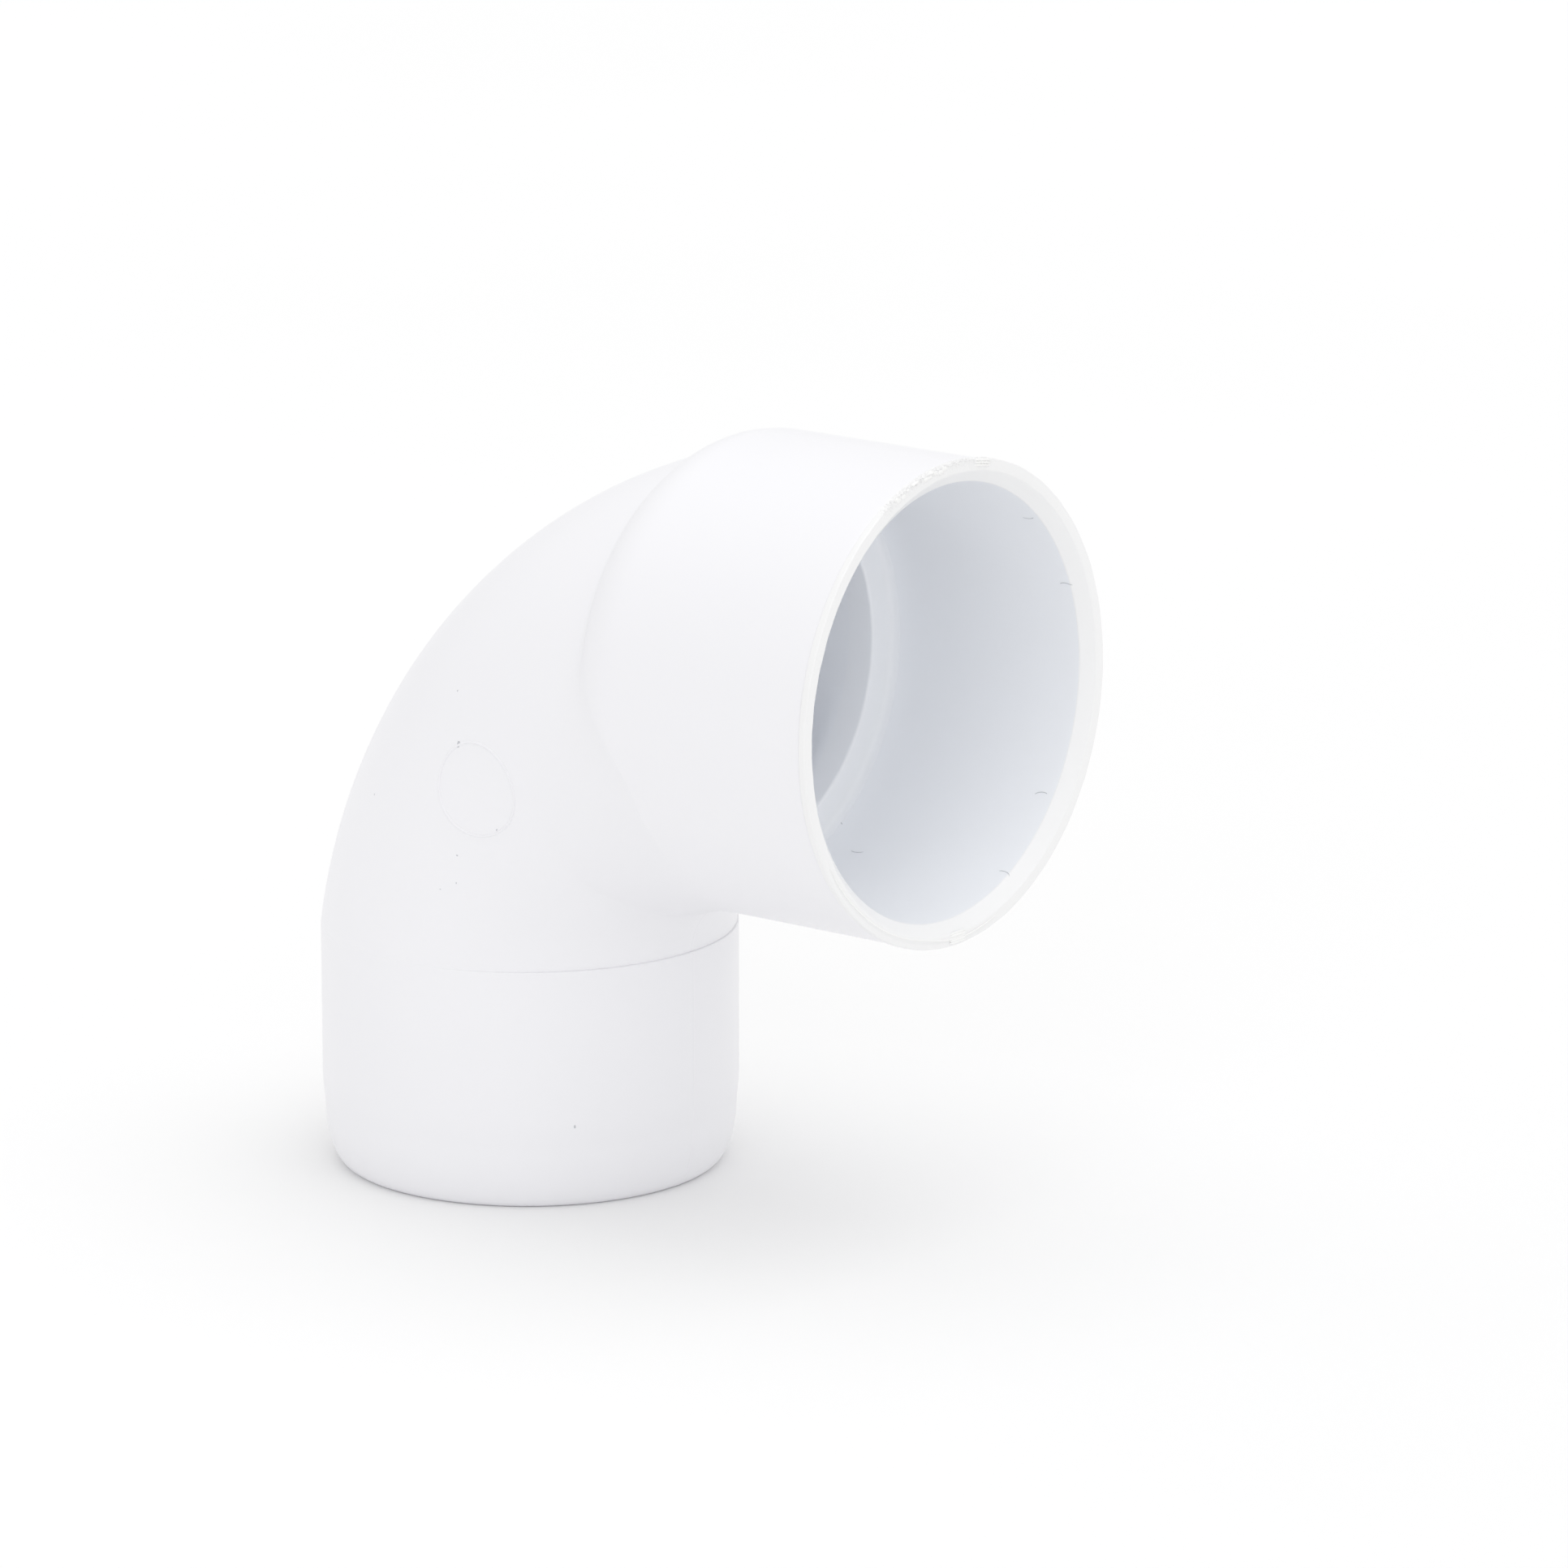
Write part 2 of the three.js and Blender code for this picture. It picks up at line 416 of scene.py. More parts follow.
# Finishing of outer skins.
def grid_normals(grid):
    """Normals of rows by columns of points, closed around the columns."""
    around = np.roll(grid, -1, 1) - np.roll(grid, 1, 1)
    along = np.gradient(grid, axis=0)
    normal = np.cross(around, along)
    return normal / np.maximum(np.linalg.norm(normal, axis=-1, keepdims=True), TINY)


def with_parting_line(grid, inside):
    """Raises the skin by the parting line; inside is a point that every normal faces away from."""
    normal = grid_normals(grid)
    away = np.sign(((grid - inside) * normal).sum(-1))
    height = PARTING_HEIGHT * np.exp(-((grid[..., 1] / PARTING_HALF_WIDTH) ** 2))
    return grid + normal * (away * height)[..., None]


def smoothed(grid, weight):
    """Evens out curvature along the columns where weight is above 0. The first and last rows stay."""
    for _ in range(SMOOTH_PASSES):
        before = np.linalg.norm(grid[1:-1] - grid[:-2], axis=-1)
        after = np.linalg.norm(grid[2:] - grid[1:-1], axis=-1)
        share = before / np.maximum(before + after, TINY)
        straight = grid[:-2] + (grid[2:] - grid[:-2]) * share[..., None]
        grid[1:-1] += (straight - grid[1:-1]) * weight[1:-1][..., None]
    return grid


# Materials.
PLASTIC_IOR = 1.53
TONE_SCALE = 26.0
GLOSS_SCALE = 60.0
GLOSS_DETAIL = 4.0
PEEL_DETAIL = 2.0
PEEL_DISTANCE = 0.0002


class Nodes:
    """A material's node tree with short ways to add and link nodes."""

    def __init__(self, name):
        self.material = bpy.data.materials.new(name)
        self.material.use_nodes = True
        self.tree = self.material.node_tree
        self.shader = self.tree.nodes["Principled BSDF"]

    def add(self, kind, **inputs):
        node = self.tree.nodes.new(kind)
        for key, value in inputs.items():
            node.inputs[key].default_value = value
        return node

    def link(self, source, target):
        self.tree.links.new(source, target)

    def noise(self, scale, detail=3.0, roughness=0.55):
        coordinates = self.tree.nodes.new("ShaderNodeTexCoord")
        node = self.add("ShaderNodeTexNoise", Scale=scale, Detail=detail, Roughness=roughness)
        self.link(coordinates.outputs["Object"], node.inputs["Vector"])
        return node.outputs["Fac"]

    def ramp(self, factor, low, high, start, end):
        node = self.tree.nodes.new("ShaderNodeValToRGB")
        node.color_ramp.elements[0].position = low
        node.color_ramp.elements[1].position = high
        node.color_ramp.elements[0].color = (*start, 1.0)
        node.color_ramp.elements[1].color = (*end, 1.0)
        self.link(factor, node.inputs["Fac"])
        return node.outputs["Color"]

    def spread(self, factor, low, high):
        node = self.add("ShaderNodeMapRange")
        node.inputs["To Min"].default_value = low
        node.inputs["To Max"].default_value = high
        self.link(factor, node.inputs["Value"])
        return node.outputs["Result"]


def plastic(name, tone, shade, roughness, peel=0.05, peel_scale=260.0):
    """Moulded plastic: tone drifts softly to shade, gloss varies a little, and the skin has a fine peel.

    Roughness stays above 0.275, because the denoiser treats smoother surfaces otherwise and a
    material that crosses that value shows patches.
    """
    nodes = Nodes(name)
    shader = nodes.shader
    colour = nodes.ramp(nodes.noise(TONE_SCALE), 0.0, 1.0, tone, shade)
    nodes.link(colour, shader.inputs["Base Color"])
    gloss = nodes.spread(nodes.noise(GLOSS_SCALE, GLOSS_DETAIL), *roughness)
    nodes.link(gloss, shader.inputs["Roughness"])
    bump = nodes.add("ShaderNodeBump", Strength=peel, Distance=PEEL_DISTANCE)
    nodes.link(nodes.noise(peel_scale, PEEL_DETAIL), bump.inputs["Height"])
    nodes.link(bump.outputs["Normal"], shader.inputs["Normal"])
    shader.inputs["IOR"].default_value = PLASTIC_IOR
    return nodes.material


BODY_TONE = (0.895, 0.892, 0.915)
BODY_SHADE = (0.865, 0.864, 0.888)
# The bore's tones are a lighter, bluer copy of the body's: painted light that brightens the inside of the
# bend and socket and gives it a blue cast.
BORE_PAINTED_LIGHT_TONE = (0.93, 0.943, 0.966)
BORE_PAINTED_LIGHT_SHADE = (0.913, 0.927, 0.954)
# The stop's tones are a lighter copy of the body's: painted light that brightens the pipe stop.
STOP_PAINTED_LIGHT_TONE = (0.94, 0.95, 0.968)
STOP_PAINTED_LIGHT_SHADE = (0.925, 0.936, 0.957)
LIP_TONE = (0.894, 0.894, 0.898)
LIP_SHADE = (0.872, 0.872, 0.872)
FLAKE_TONE = (0.935, 0.935, 0.93)
FLAKE_SHADE = (0.9, 0.9, 0.89)
MARK_TONE = (0.5, 0.51, 0.54)
MARK_SHADE = (0.6, 0.61, 0.64)
MOULDED_GLOSS = (0.285, 0.36)
body_white = plastic("body_white", BODY_TONE, BODY_SHADE, MOULDED_GLOSS)
bore_painted_light = plastic("bore_painted_light", BORE_PAINTED_LIGHT_TONE, BORE_PAINTED_LIGHT_SHADE, MOULDED_GLOSS)
stop_white = plastic("stop_white", STOP_PAINTED_LIGHT_TONE, STOP_PAINTED_LIGHT_SHADE, (0.3, 0.42))
lip_cream = plastic("lip_cream", LIP_TONE, LIP_SHADE, (0.3, 0.45), peel=0.12, peel_scale=500.0)
flake_white = plastic("flake_white", FLAKE_TONE, FLAKE_SHADE, (0.285, 0.4))
mark_grey = plastic("mark_grey", MARK_TONE, MARK_SHADE, (0.4, 0.6), peel=0.1, peel_scale=600.0)


# Spigot.
def turned_about_spigot(profile):
    """Rows of points from a profile in (radius, height). Either may differ from column to column."""
    return np.array([about_spigot(radius, height, AROUND) for radius, height in profile])


def spigot_outside():
    """From the end face up the rounded lead-in, the taper and the wall, over the soft top edge."""
    profile = []
    for step in range(1, LEAD_IN_STEPS + 1):
        angle = -QUARTER_TURN + step * QUARTER_TURN / LEAD_IN_STEPS
        profile.append((
            SPIGOT_END_R + (LEAD_IN_TOP_R - SPIGOT_END_R) * math.cos(angle),
            LEAD_IN_LENGTH + LEAD_IN_LENGTH * math.sin(angle),
        ))
    for share in steps_to(0, 1, TAPER_STEPS):
        profile.append((
            LEAD_IN_TOP_R + (SPIGOT_R - LEAD_IN_TOP_R) * math.sin(share * QUARTER_TURN),
            LEAD_IN_LENGTH + (TAPER_LENGTH - LEAD_IN_LENGTH) * share,
        ))
    for height in steps_to(TAPER_LENGTH, LINE_Z - 2 * LEDGE_WIDTH, SPIGOT_WALL_ROWS):
        profile.append((SPIGOT_R, height))
    edge = LEDGE_ROUND_SHARE * ledge_width(AROUND)
    for angle in np.linspace(0, QUARTER_TURN, ROUND_STEPS + 1):
        profile.append((
            SPIGOT_R - edge * (1 - math.cos(angle)),
            LINE_Z - edge * (1 - math.sin(angle)),
        ))
    return profile


def spigot_inside():
    """From the top down the bore, and round its lower edge onto the end face."""
    profile = [(SPIGOT_BORE_R, LINE_Z)]
    for height in steps_to(LINE_Z, 2 * SPIGOT_END_ROUND, SPIGOT_BORE_ROWS):
        share = 1 - height / LINE_Z
        profile.append((SPIGOT_BORE_R + (SPIGOT_BORE_END_R - SPIGOT_BORE_R) * share, height))
    edge = (SPIGOT_BORE_END_R, 0.0)
    return profile + rounded(edge, (SPIGOT_BORE_END_R, LINE_Z), (SPIGOT_END_R, 0.0), SPIGOT_END_ROUND)


def spigot_skin():
    skin = with_parting_line(turned_about_spigot(spigot_outside()), INSIDE_SPIGOT)
    grid = np.concatenate([skin, turned_about_spigot(spigot_inside())])
    grid_piece("spigot_skin", grid, body_white, ("spigot",))


# Bend and socket in one skin: from the spigot line over the shoulder to the mouth, and back through
# the bore.
def shoulder_crease():
    """Where each column meets the shoulder: angle on the bend, point, turn and travel on the socket."""
    angle = bisect(
        np.zeros_like(AROUND),
        np.full_like(AROUND, QUARTER_TURN),
        lambda trial: outside_socket(bend_point(trial, AROUND)) > 0,
    )
    corner = bend_point(angle, AROUND)
    turn = np.arctan2(corner[:, 1], corner[:, 2] - AXIS_Z)
    radius = np.hypot(corner[:, 1], corner[:, 2] - AXIS_Z)
    on_arc = np.arctan2(SHOULDER_X - corner[:, 0], radius - SHOULDER_CENTRE_R)
    beyond = corner[:, 0] - SHOULDER_X
    travel = np.where(beyond < 0, -SHOULDER_ARC_R * on_arc, beyond)
    return angle, corner, turn, travel


def crease_softness():
    """How far the fillet at the crease reaches in each column."""
    low_side = throat_side(AROUND)
    towards_side = (CREASE_AT_SIDE - CREASE_AT_HEEL) * ease(low_side, CREASE_SOFT_FROM, CREASE_SOFT_TO)
    towards_throat = (CREASE_AT_SIDE - CREASE_AT_THROAT) * ease(low_side, CREASE_THROAT_FROM, 1.0)
    return CREASE_AT_HEEL + towards_side - towards_throat


def smoothing_weight(grid, corner):
    """How strongly each point is evened out: only where the crease is soft, and fading away from it."""
    distance = np.linalg.norm(grid - corner, axis=-1)
    where_soft = ease(throat_side(AROUND), CREASE_SOFT_FROM, CREASE_SOFT_TO)
    return SMOOTH_STRENGTH * where_soft * (1 - ease(distance, SMOOTH_FULL_REACH, SMOOTH_REACH))


def elbow_outside(crease, corner, turn, travel):
    """Rows of the bend, the crease, the dome and the barrel."""
    soften = crease_softness()
    speed = np.linalg.norm(corner - bend_point(crease - SMALL_ANGLE, AROUND), axis=-1) / SMALL_ANGLE
    fillet_start = np.maximum(crease - soften / speed, crease * CREASE_LEAVES)
    fillet_end = travel + soften
    start_point = skin_point(fillet_start, AROUND)
    end_point = meridian_point(turn, fillet_end)
    dome_end = np.maximum(fillet_end, 0) + DOME_RUN_ON
    barrel_end = BODY_END_X - SHOULDER_X - SOCKET_EDGE_ROUND
    rows = []
    for share in np.linspace(0, 1, BEND_ROWS):
        rows.append(skin_point(fillet_start * share, AROUND))
    for share in steps_to(0, 1, CREASE_ROWS):
        rows.append(curve_point(start_point, corner, end_point, share))
    for share in steps_to(0, 1, DOME_ROWS):
        rows.append(meridian_point(turn, fillet_end + (dome_end - fillet_end) * share))
    for share in steps_to(0, 1, BARREL_ROWS):
        rows.append(meridian_point(turn, dome_end + (barrel_end - dome_end) * share))
    grid = np.array(rows)
    grid = smoothed(grid, smoothing_weight(grid, corner))
    return with_parting_line(grid, INSIDE_BEND)


def socket_bore():
    """Profile from the mouth end's face through the chamfer and the tapered bore to the stop's seat."""
    face_edge = (BODY_END_X, LIP_BACK_BORE_R)
    profile = [face_edge]
    profile += rounded(
        (CHAMFER_END_X, SOCKET_MOUTH_R), face_edge, (STOP_X, SOCKET_ROOT_R), CHAMFER_INNER_ROUND)
    for share in steps_to(0, 1, SOCKET_BORE_ROWS):
        profile.append((
            CHAMFER_END_X + (STOP_X - CHAMFER_END_X) * share,
            SOCKET_MOUTH_R + (SOCKET_ROOT_R - SOCKET_MOUTH_R) * share,
        ))
    return profile + [(STOP_BACK_X, SOCKET_ROOT_R), (STOP_BACK_X, STOP_BORE_R)]


def bend_bore():
    """Rows from just behind the stop, where the bore is round, down to the spigot line."""
    end = bisect(
        np.zeros_like(AROUND),
        np.full_like(AROUND, QUARTER_TURN),
        lambda angle: bore_point(angle, AROUND)[:, 0] < STOP_BACK_X - HOLE_LEAD,
    )
    hole = turned([(STOP_BACK_X - HOLE_LEAD, STOP_BORE_R)], AROUND)[0]
    miss = hole - bore_point(end, AROUND)
    rows = []
    for share in np.linspace(1, 0, BEND_BORE_ROWS):
        rows.append(bore_point(end * share, AROUND) + miss * ease(share, BORE_BLEND_FROM, 1.0))
    return rows


def elbow_skin():
    crease, corner, turn, travel = shoulder_crease()
    skin = elbow_outside(crease, corner, turn, travel)
    edge = rounded((BODY_END_X, SOCKET_R), (0, SOCKET_R), (BODY_END_X, 0), SOCKET_EDGE_ROUND)[1:]
    inner = turned(edge + socket_bore(), turn)
    grid = np.concatenate([skin, np.array(inner), np.array(bend_bore())])
    piece = grid_piece("elbow_body", grid, body_white, ("bend", "socket"))
    piece.data.materials.append(lip_cream)
    piece.data.materials.append(bore_painted_light)
    # The outside is body_white, the chamfer lip_cream and all behind it the bore's material, a lighter
    # and bluer copy of body_white: painted light that brightens the inside and gives it a blue cast.
    chamfer_row = len(skin) + len(edge)
    bore_row = chamfer_row + ROUND_STEPS
    row_of_face = np.arange(len(piece.data.polygons)) // len(AROUND)
    material_of_face = np.where(row_of_face < chamfer_row, 0, np.where(row_of_face < bore_row, 1, 2))
    piece.data.polygons.foreach_set("material_index", material_of_face.astype(np.int32))


# Pipe stop: its face is filleted to the socket's wall and its inner edge is soft. Its material is a
# lighter copy of the body's white: painted light that brightens the stop.
def stop_ring():
    seat_r = SOCKET_ROOT_R + STOP_SINK
    wall = (STOP_X + STOP_FILLET, SOCKET_ROOT_R)
    face = (STOP_X, SOCKET_ROOT_R - STOP_FILLET)
    profile = [(STOP_BACK_X, STOP_BORE_R), (STOP_BACK_X, seat_r), (STOP_X + STOP_FILLET, seat_r)]
    profile += rounded((STOP_X, SOCKET_ROOT_R), wall, face, STOP_FILLET, STOP_FILLET_STEPS)
    profile += rounded((STOP_X, STOP_BORE_R), (STOP_X, SOCKET_R), (0, STOP_BORE_R), STOP_EDGE_ROUND)
    grid = np.array(turned(profile, AROUND))
    grid_piece("pipe_stop_ring", grid, stop_white, ("pipe_stop",))


# Mouth lip. Its rim wavers a little, is torn over the gate scar at the top and is folded at the bottom.
# Turns are degrees from the top of the mouth, positive towards +Y.
LIP_SEED = 11
LIP_COLUMNS = 480
SCAR_START = -32.0
SCAR_END = 16.0
SCAR_COLUMN = 0.16
SCAR_FADE = 5.0
SCAR_DEPTH = 0.22
SCAR_LIFT = 0.16
SCAR_LIFT_SHIFT = 7
TORN_SOFTENING = (0.1, 0.2, 0.4, 0.2, 0.1)
FOLD_START = -200.0
FOLD_END = -116.0
FOLD_FADE = 10.0
FOLD_STEP = 0.14
FOLD_R = 30.8
FOLD_RUN = 0.25
WOBBLE_WAVES = 9
WOBBLE_COUNTS = (3, 60)
OUTER_WOBBLE = 0.03
INNER_WOBBLE = 0.035
INNER_WOBBLE_REACH = 0.6
WOBBLE_DEPTH = 0.4
LIP_CHAMFER_ROWS = 5
LIP_FACE_ROWS = 7
LIP_FACE_INSETS = (0.2, 0.35)
LIP_SIDE_OFFSETS = (0.35, 0.5, 0.65)
CHAMFER_ROUND_STEPS = 3


def lip_columns():
    """Angles about the socket's axis, closer together over the gate scar."""
    coarse = np.linspace(0, FULL_TURN, LIP_COLUMNS, endpoint=False)
    fine = np.radians(np.arange(SCAR_START, SCAR_END, SCAR_COLUMN)) % FULL_TURN
    return np.unique(np.round(np.concatenate([coarse, fine]), 7))


def drift(angle, amplitude, random):
    """A smooth closed wobble around the ring."""
    total = np.zeros_like(angle)
    for _ in range(WOBBLE_WAVES):
        count = random.integers(*WOBBLE_COUNTS)
        total += np.sin(count * angle + random.uniform(0, FULL_TURN)) / math.sqrt(WOBBLE_WAVES)
    return amplitude * total


def window(degrees, start, end, fade):
    """1 between start and end, fading to 0 at both."""
    rise = np.clip((degrees - start) / fade, 0, 1)
    fall = np.clip((end - degrees) / fade, 0, 1)
    return np.minimum(rise, fall)


def lip_profile():
    """Points in (x, radius) up the chamfer, out over the face and back along the outer side."""
    back_edge = (BODY_END_X, LIP_BACK_BORE_R)
    profile = []
    for share in np.linspace(0, 1, LIP_CHAMFER_ROWS + 1)[:-1]:
        profile.append((
            BODY_END_X + (MOUTH_X - BODY_END_X) * share,
            LIP_BACK_BORE_R + (CHAMFER_OUTER_R - LIP_BACK_BORE_R) * share,
        ))
    profile += rounded(
        (MOUTH_X, CHAMFER_OUTER_R), back_edge, (MOUTH_X, LIP_R), CHAMFER_OUTER_ROUND, CHAMFER_ROUND_STEPS)
    face_start, face_end = LIP_FACE_INSETS
    for radius in np.linspace(CHAMFER_OUTER_R + face_start, LIP_R - face_end, LIP_FACE_ROWS):
        profile.append((MOUTH_X, radius))
    profile += rounded((MOUTH_X, LIP_R), (MOUTH_X, 0), (0, LIP_R), LIP_EDGE_ROUND)
    profile += [(MOUTH_X - offset, LIP_R) for offset in LIP_SIDE_OFFSETS]
    profile += rounded((BODY_END_X, LIP_R), (MOUTH_X, LIP_R), (BODY_END_X, 0), LIP_FOOT_ROUND)
    return profile


def torn_row(count, random):
    """Random heights from -1 to 1 around the ring, softened over their neighbours."""
    torn = random.uniform(-1, 1, count)
    spare = len(TORN_SOFTENING) // 2
    return np.convolve(np.concatenate([torn[-spare:], torn, torn[:spare]]), TORN_SOFTENING, "valid")


def lip_ring():
    random = np.random.default_rng(LIP_SEED)
    angle = lip_columns()
    degrees = (np.degrees(angle) + 180) % 360 - 180
    below = np.degrees(angle) % 360 - 360
    scar = window(degrees, SCAR_START, SCAR_END, SCAR_FADE)
    fold = window(below, FOLD_START, FOLD_END, FOLD_FADE)
    outer_wobble = drift(angle, OUTER_WOBBLE, random)
    inner_wobble = drift(angle, INNER_WOBBLE, random)
    rows = []
    for x, radius in lip_profile():
        outer_share = np.clip((radius - CHAMFER_OUTER_R) / (LIP_R - CHAMFER_OUTER_R), 0, 1)
        inner_share = 1 - np.clip(abs(radius - CHAMFER_OUTER_R) / INNER_WOBBLE_REACH, 0, 1)
        front_share = np.clip((x - BODY_END_X) / WOBBLE_DEPTH, 0, 1)
        torn = torn_row(angle.size, random)
        ripped = scar * outer_share * front_share
        wobble = (outer_wobble * outer_share + inner_wobble * inner_share) * front_share
        rim_radius = radius + wobble + ripped * SCAR_DEPTH * torn
        lift = ripped * SCAR_LIFT * np.roll(torn, SCAR_LIFT_SHIFT)
        sunk = FOLD_STEP * fold * np.clip((radius - FOLD_R) / FOLD_RUN, 0, 1) * front_share
        rows.append(about_socket(x + lift - sunk, rim_radius, angle))
    grid_piece("mouth_ring", np.array(rows), lip_cream, ("mouth_lip",))


# Fine raised marks laid on a surface.
BEAD_STEPS = 6
BEAD_TAPER = 6
BEAD_END_SHARE = 0.02


def bead(path, normals, half_width, height, sink, closed=False):
    """A low rounded ridge along a path, with its foot sunk below the surface and open ends tapered."""
    path = np.asarray(path, float)
    ahead = np.roll(path, -1, 0) - np.roll(path, 1, 0) if closed else np.gradient(path, axis=0)
    ahead = ahead / np.linalg.norm(ahead, axis=1, keepdims=True)
    across = np.cross(normals, ahead)
    across = across / np.linalg.norm(across, axis=1, keepdims=True)
    share = np.ones(len(path))
    if not closed:
        position = np.linspace(0, 1, len(path))
        from_end = np.minimum(position, 1 - position)
        share = np.sqrt(np.clip(from_end * BEAD_TAPER, BEAD_END_SHARE, 1))
    outline = [(-half_width, -sink), (half_width, -sink)]
    for step in range(BEAD_STEPS + 1):
        angle = math.pi * step / BEAD_STEPS
        outline.append((half_width * math.cos(angle), height * math.sin(angle)))
    sections = []
    for side, up in outline:
        rise = up * share if up > 0 else np.full(len(path), up)
        sections.append(path + across * (side * share)[:, None] + normals * rise[:, None])
    grid = np.array(sections).transpose(1, 0, 2)
    count, width = grid.shape[:2]
    points = grid.reshape(-1, 3)
    faces = ring_faces(count, width, closed_rows=closed)
    inward = signed_volume(points, faces) < 0
    if not closed:
        faces.append(tuple(reversed(range(width))))
        faces.append(tuple(range((count - 1) * width, count * width)))
    if inward:
        faces = [tuple(reversed(face)) for face in faces]
    return points, faces


# The round mark of a mould insert, on the bend's -Y side.
MARK_ANGLE = math.radians(44.1)
MARK_REACH = 36.4
MARK_R = 6.25
MARK_HALF_WIDTH = 0.16
MARK_HEIGHT = 0.13
MARK_SINK = 0.1
MARK_COLUMNS = 160


def insert_mark():
    centre_x = PIVOT_X - MARK_REACH * math.cos(MARK_ANGLE)
    centre_z = LINE_Z + MARK_REACH * math.sin(MARK_ANGLE)
    around = np.linspace(0, FULL_TURN, MARK_COLUMNS, endpoint=False)
    x = centre_x + MARK_R * np.cos(around)
    z = centre_z + MARK_R * np.sin(around)
    path = np.stack([x, bend_side(x, z), z], -1)
    normals = bend_side_frame(x, z)[0]
    ring = bead(path, normals, MARK_HALF_WIDTH, MARK_HEIGHT, MARK_SINK, closed=True)
    joined("insert_mark", [ring], body_white)


# Hooked scuffs inside the socket. Each has a depth behind the mouth and a turn in degrees from the top.
# Their places were picked by eye on the photo, and a scratch program turned them into these numbers.
SCUFFS = ((3.5, 43.3), (2.3, 68.4), (3.5, 126.5), (2.3, 152.5), (24.8, 155.7), (31.0, 147.6))
SCUFF_SEED = 11
SCUFF_LEAN = 0.2
SCUFF_BEND = 1.2
SCUFF_STEPS = 17
SCUFF_HALF_LENGTH = 1.0
SCUFF_SAG = 0.45
SCUFF_HALF_WIDTH = 0.055
SCUFF_HEIGHT = 0.04
MARK_FOOT = 0.08


def scuff(depth, degrees, random):
    """A short arc along the socket's wall, leaning a little off the axis."""
    lean = QUARTER_TURN + random.uniform(-SCUFF_LEAN, SCUFF_LEAN)
    arc = np.linspace(-SCUFF_BEND, SCUFF_BEND, SCUFF_STEPS)
    along = SCUFF_HALF_LENGTH * np.sin(arc)
    across = SCUFF_SAG * np.cos(arc) * random.choice([-1, 1])
    x = MOUTH_X - depth + across * math.cos(lean) - along * math.sin(lean)
    turn = math.radians(degrees) + (along * math.cos(lean) + across * math.sin(lean)) / SOCKET_MOUTH_R
    path = about_socket(x, wall_radius(x), turn)
    normals = np.stack([0 * turn, -np.sin(turn), -np.cos(turn)], -1)
    return bead(path, normals, SCUFF_HALF_WIDTH, SCUFF_HEIGHT, MARK_FOOT)


def socket_scuffs():
    random = np.random.default_rng(SCUFF_SEED)
    hooks = [scuff(depth, degrees, random) for depth, degrees in SCUFFS]
    joined("socket_scuffs", hooks, mark_grey)


# Dark specks: a nick beside the insert mark, one on the spigot and a few strays on the bend's -Y side.
# The nick and the spigot's speck were placed in the same way as the scuffs.
SPECK_SEED = 12
NICK_X = -10.92
NICK_Z = 63.66
NICK_SIZE = 1.9
STRAY_SPECKS = 7
STRAY_ANGLES = (0.25, 0.95)
STRAY_REACHES = (28.0, 52.0)
STRAY_SIZE = 0.6
SPIGOT_SPECK_TURN = math.radians(51.4)
SPIGOT_SPECK_Z = 11.6
SPIGOT_SPECK_SIZE = 0.9
SPECK_STEPS = 7
SPECK_LENGTH = 0.5
SPECK_HALF_WIDTH = 0.13
SPECK_HEIGHT = 0.05


def speck(point, normal, direction, size):
    share = np.linspace(-0.5, 0.5, SPECK_STEPS)[:, None]
    path = np.array(point) + np.array(direction) * share * SPECK_LENGTH * size
    normals = np.tile(np.array(normal, float), (SPECK_STEPS, 1))
    return bead(path, normals, SPECK_HALF_WIDTH * size, SPECK_HEIGHT, MARK_FOOT)


def body_specks():
    random = np.random.default_rng(SPECK_SEED)
    places = [(NICK_X, NICK_Z, NICK_SIZE)]
    for _ in range(STRAY_SPECKS):
        angle = random.uniform(*STRAY_ANGLES)
        reach = random.uniform(*STRAY_REACHES)
        places.append((PIVOT_X - reach * math.cos(angle), LINE_Z + reach * math.sin(angle), STRAY_SIZE))
    shells = []
    for x, z, size in places:
        lean = random.uniform(0, math.pi)
        normal, tangent_x, tangent_z = bend_side_frame(x, z)
        direction = unit(tangent_x * math.cos(lean) + tangent_z * math.sin(lean))
        shells.append(speck((x, bend_side(x, z), z), normal, direction, size))
    radial = np.array([math.sin(SPIGOT_SPECK_TURN), -math.cos(SPIGOT_SPECK_TURN), 0.0])
    on_spigot = np.array([SPIGOT_X, 0.0, SPIGOT_SPECK_Z]) + radial * SPIGOT_R
    shells.append(speck(on_spigot, radial, (0.0, 0.0, 1.0), SPIGOT_SPECK_SIZE))
    joined("body_specks", shells, mark_grey)


# Marks on the mouth's rim: a fold line round the bottom with a flap, and torn flakes at the gate.
# The points of the fold line were placed in the same way as the scuffs.
RIM_SEED = 13
RIM_SINK = 0.2
FOLD_TURNS = (-121.5, -134.7, -147.1, -157.1, -168.5, -181.9, -200.6)
FOLD_RADII = (31.15, 30.96, 30.81, 30.7, 30.56, 31.1, 30.83)
FOLD_LINE_COLUMNS = 150
FOLD_LINE_LIFT = -0.05
FOLD_LINE_HALF_WIDTH = 0.1
FOLD_LINE_HEIGHT = 0.1
FOLD_LINE_SINK = 0.12
FLAP_TURNS = (-177.7, -183.8)
FLAP_RADII = (30.2, 31.45)
FLAP_COLUMNS = 12
FLAP_BEADS = 5
FLAP_WOBBLE = 0.04
FLAP_HALF_WIDTH = 0.19
FLAP_HEIGHTS = (0.06, 0.12)
FLAKES = 11
FLAKE_TURNS = (-25.0, -5.0)
FLAKE_LENGTHS = (0.7, 2.6)
FLAKE_RADII = (31.2, 31.8)
FLAKE_WOBBLE = 0.03
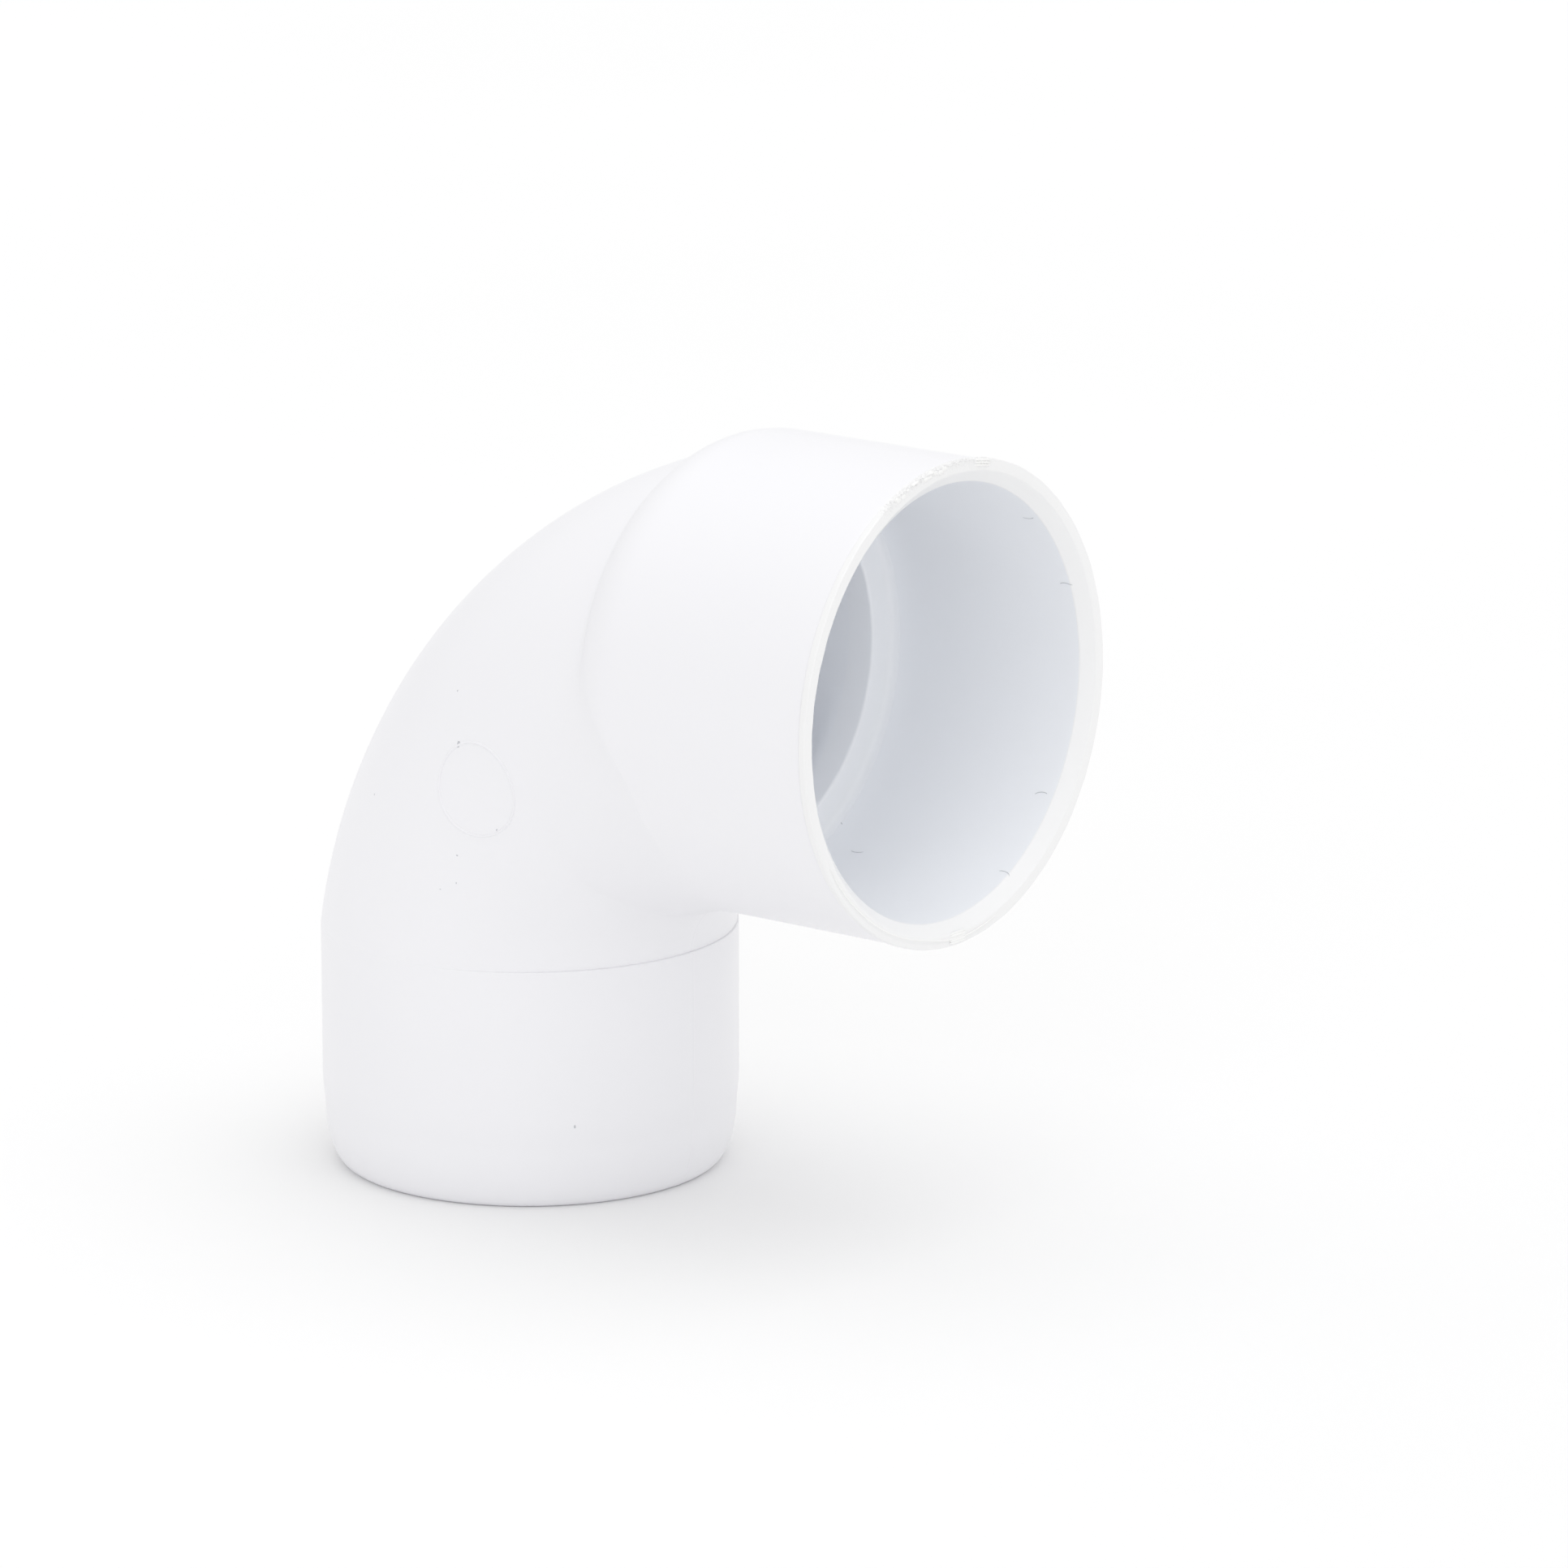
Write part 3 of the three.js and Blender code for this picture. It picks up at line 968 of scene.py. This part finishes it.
FLAKE_HALF_WIDTHS = (0.12, 0.32)
FLAKE_HEIGHTS = (0.05, 0.15)
FLAKE_COLUMNS = 9
TEAR_TURNS = (6.5, 12.5)
TEAR_RADII = (31.0, 31.35, 31.7)
TEAR_COLUMNS = 24
TEAR_WOBBLE = 0.05
TEAR_HALF_WIDTH = 0.17
TEAR_HEIGHTS = (0.08, 0.18)


def rim_bead(degrees, radii, half_width, height, sink=RIM_SINK, lift=0.0):
    """A bead on the rim's face, through points at turns in degrees and distances from the axis."""
    turn = np.radians(degrees)
    path = about_socket(MOUTH_X + lift, radii, turn)
    normals = np.tile([1.0, 0.0, 0.0], (len(turn), 1))
    return bead(path, normals, half_width, height, sink)


def fold_line():
    turns = np.linspace(FOLD_TURNS[0], FOLD_TURNS[-1], FOLD_LINE_COLUMNS)
    radii = np.interp(-turns, -np.array(FOLD_TURNS), FOLD_RADII)
    return rim_bead(
        turns, radii, FOLD_LINE_HALF_WIDTH, FOLD_LINE_HEIGHT, FOLD_LINE_SINK, FOLD_LINE_LIFT)


def rim_marks():
    random = np.random.default_rng(RIM_SEED)
    shells = [fold_line()]
    flap = np.linspace(*FLAP_TURNS, FLAP_COLUMNS)
    for radius in np.linspace(*FLAP_RADII, FLAP_BEADS):
        radii = radius + random.uniform(-FLAP_WOBBLE, FLAP_WOBBLE, FLAP_COLUMNS)
        shells.append(rim_bead(flap, radii, FLAP_HALF_WIDTH, random.uniform(*FLAP_HEIGHTS)))
    for _ in range(FLAKES):
        middle = random.uniform(*FLAKE_TURNS)
        length = random.uniform(*FLAKE_LENGTHS)
        turns = np.linspace(middle - length / 2, middle + length / 2, FLAKE_COLUMNS)
        radii = random.uniform(*FLAKE_RADII) + random.uniform(-FLAKE_WOBBLE, FLAKE_WOBBLE, FLAKE_COLUMNS)
        half_width = random.uniform(*FLAKE_HALF_WIDTHS)
        shells.append(rim_bead(turns, radii, half_width, random.uniform(*FLAKE_HEIGHTS)))
    tear = np.linspace(*TEAR_TURNS, TEAR_COLUMNS)
    for radius in TEAR_RADII:
        radii = radius + random.uniform(-TEAR_WOBBLE, TEAR_WOBBLE, TEAR_COLUMNS)
        shells.append(rim_bead(tear, radii, TEAR_HALF_WIDTH, random.uniform(*TEAR_HEIGHTS)))
    joined("rim_marks", shells, flake_white)


spigot_skin()
elbow_skin()
stop_ring()
lip_ring()
insert_mark()
socket_scuffs()
body_specks()
rim_marks()


# Stage: a wide pale floor, an even white sky and two broad lights.
FLOOR_HALF = 6000.0
FLOOR_TONE = (0.88, 0.88, 0.88)
FLOOR_SHADE = (0.9, 0.9, 0.9)
FLOOR_SCALE = 3.0
FLOOR_RAMP = (0.2, 0.8)
FLOOR_ROUGHNESS = 0.9
FLOOR_SPECULAR = 0.1
WORLD_STRENGTH = 0.825
TOP_SHARE = 0.27
TOP_SPREAD = 70.0
TOP_FROM = (0.15, 0.1, 1.0)
FRONT_SHARE = 0.08
FRONT_SPREAD = 45.0
FRONT_FROM = (0.5, -0.75, 0.5)
LIGHT_BOUNCES = 12


def pale_floor():
    nodes = Nodes("floor_white")
    colour = nodes.ramp(nodes.noise(FLOOR_SCALE), *FLOOR_RAMP, FLOOR_TONE, FLOOR_SHADE)
    nodes.link(colour, nodes.shader.inputs["Base Color"])
    nodes.shader.inputs["Roughness"].default_value = FLOOR_ROUGHNESS
    nodes.shader.inputs["Specular IOR Level"].default_value = FLOOR_SPECULAR
    mesh = bpy.data.meshes.new("floor")
    half = FLOOR_HALF * MM
    corners = [(-half, -half, 0), (half, -half, 0), (half, half, 0), (-half, half, 0)]
    mesh.from_pydata(corners, [], [(0, 1, 2, 3)])
    mesh.materials.append(nodes.material)
    floor = bpy.data.objects.new("floor", mesh)
    bpy.context.scene.collection.objects.link(floor)


def soft_sun(name, coming_from, share, spread):
    """A broad light from one side; share is what it adds next to an even white sky of strength 1."""
    light = bpy.data.lights.new(name, "SUN")
    light.energy = share * math.pi
    light.angle = math.radians(spread)
    lamp = bpy.data.objects.new(name, light)
    lamp.rotation_euler = Vector(coming_from).to_track_quat("Z", "Y").to_euler()
    bpy.context.scene.collection.objects.link(lamp)


def studio():
    world = bpy.data.worlds.new("studio")
    world.use_nodes = True
    background = world.node_tree.nodes["Background"]
    background.inputs["Color"].default_value = (1.0, 1.0, 1.0, 1.0)
    background.inputs["Strength"].default_value = WORLD_STRENGTH
    bpy.context.scene.world = world
    soft_sun("top_softbox", TOP_FROM, TOP_SHARE, TOP_SPREAD)
    soft_sun("front_softbox", FRONT_FROM, FRONT_SHARE, FRONT_SPREAD)
    bpy.context.scene.cycles.max_bounces = LIGHT_BOUNCES
    bpy.context.scene.cycles.diffuse_bounces = LIGHT_BOUNCES


pale_floor()
studio()


# Camera: from the front right and a little above, with a long lens. Azimuth 0 looks along +Y.
VIEW_AZIMUTH = 37.963
VIEW_ELEVATION = 14.053
VIEW_DISTANCE = 1168.66
AIM = (14.785, 8.626, 55.204)
LENS = 203.747
SENSOR = 36.0
CLIP_START = 0.05
CLIP_END = 50.0


def camera():
    azimuth = math.radians(VIEW_AZIMUTH)
    elevation = math.radians(VIEW_ELEVATION)
    back = Vector((
        math.sin(azimuth) * math.cos(elevation),
        -math.cos(azimuth) * math.cos(elevation),
        math.sin(elevation),
    ))
    data = bpy.data.cameras.new("view")
    data.lens = LENS
    data.sensor_width = SENSOR
    data.clip_start = CLIP_START
    data.clip_end = CLIP_END
    eye = bpy.data.objects.new("view", data)
    eye.location = (Vector(AIM) + back * VIEW_DISTANCE) * MM
    eye.rotation_euler = back.to_track_quat("Z", "Y").to_euler()
    bpy.context.scene.collection.objects.link(eye)
    bpy.context.scene.camera = eye


camera()
bpy.context.scene.view_settings.view_transform = "Standard"
